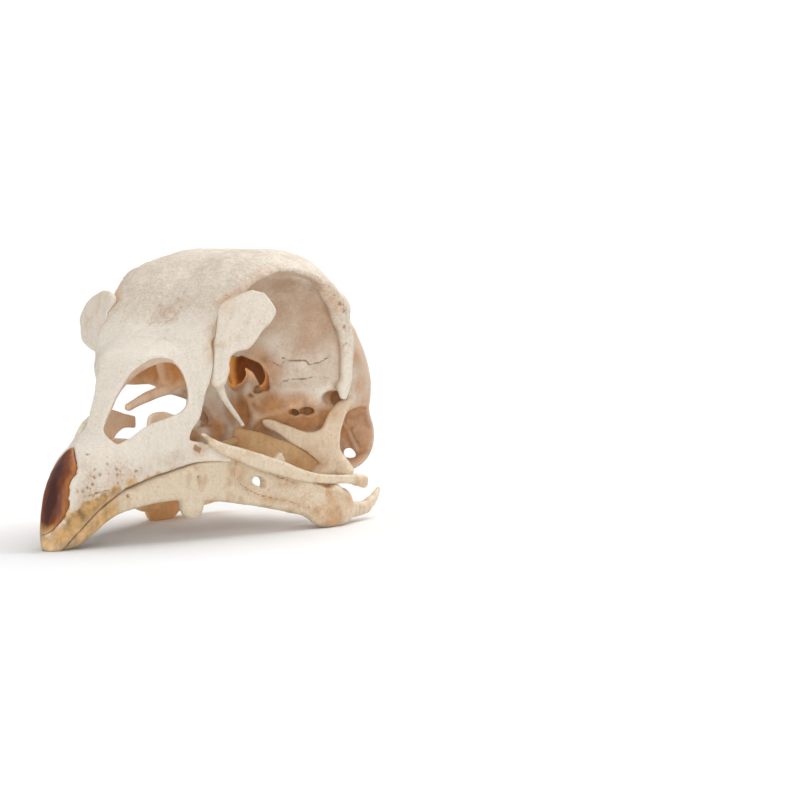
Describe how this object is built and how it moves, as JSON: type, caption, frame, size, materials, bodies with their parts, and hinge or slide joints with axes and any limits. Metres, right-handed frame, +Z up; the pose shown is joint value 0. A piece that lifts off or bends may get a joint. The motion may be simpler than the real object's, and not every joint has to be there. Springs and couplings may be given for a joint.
{
  "type": "bird skull",
  "caption": "Life-size skull of a domestic cock with closed jaws: domed braincase, large eye sockets, curved bill with a remnant of horn, slender cheek bars and lower jaw.",
  "frame": {"origin": "on the floor under the middle of the skull's bounding box", "axes": "+Z up, the bill points to -Y, +X is the bird's left side; X = 0 is the middle plane of the head"},
  "size_m": [0.0337, 0.0707, 0.041],
  "materials": {
    "bone_grey": "dry bone, greyish beige, finely pitted on the roof",
    "bone_white": "dry bone, cream white, smooth",
    "bone_ochre": "dry bone with ochre remains of tissue",
    "horn_brown": "dry horn, dark reddish brown, slightly glossy"
  },
  "bodies": {
    "root": {"cranium": "bone_grey", "upper_bill": "bone_white", "horn_sheath": "horn_brown", "mandible": "bone_white", "lacrimal_L": "bone_white", "lacrimal_R": "bone_white", "quadrate_L": "bone_ochre", "quadrate_R": "bone_ochre", "pterygoid_L": "bone_ochre", "pterygoid_R": "bone_ochre", "palatine_L": "bone_ochre", "palatine_R": "bone_ochre", "jugal_L": "bone_white", "jugal_R": "bone_white"}
  },
  "joints": []
}
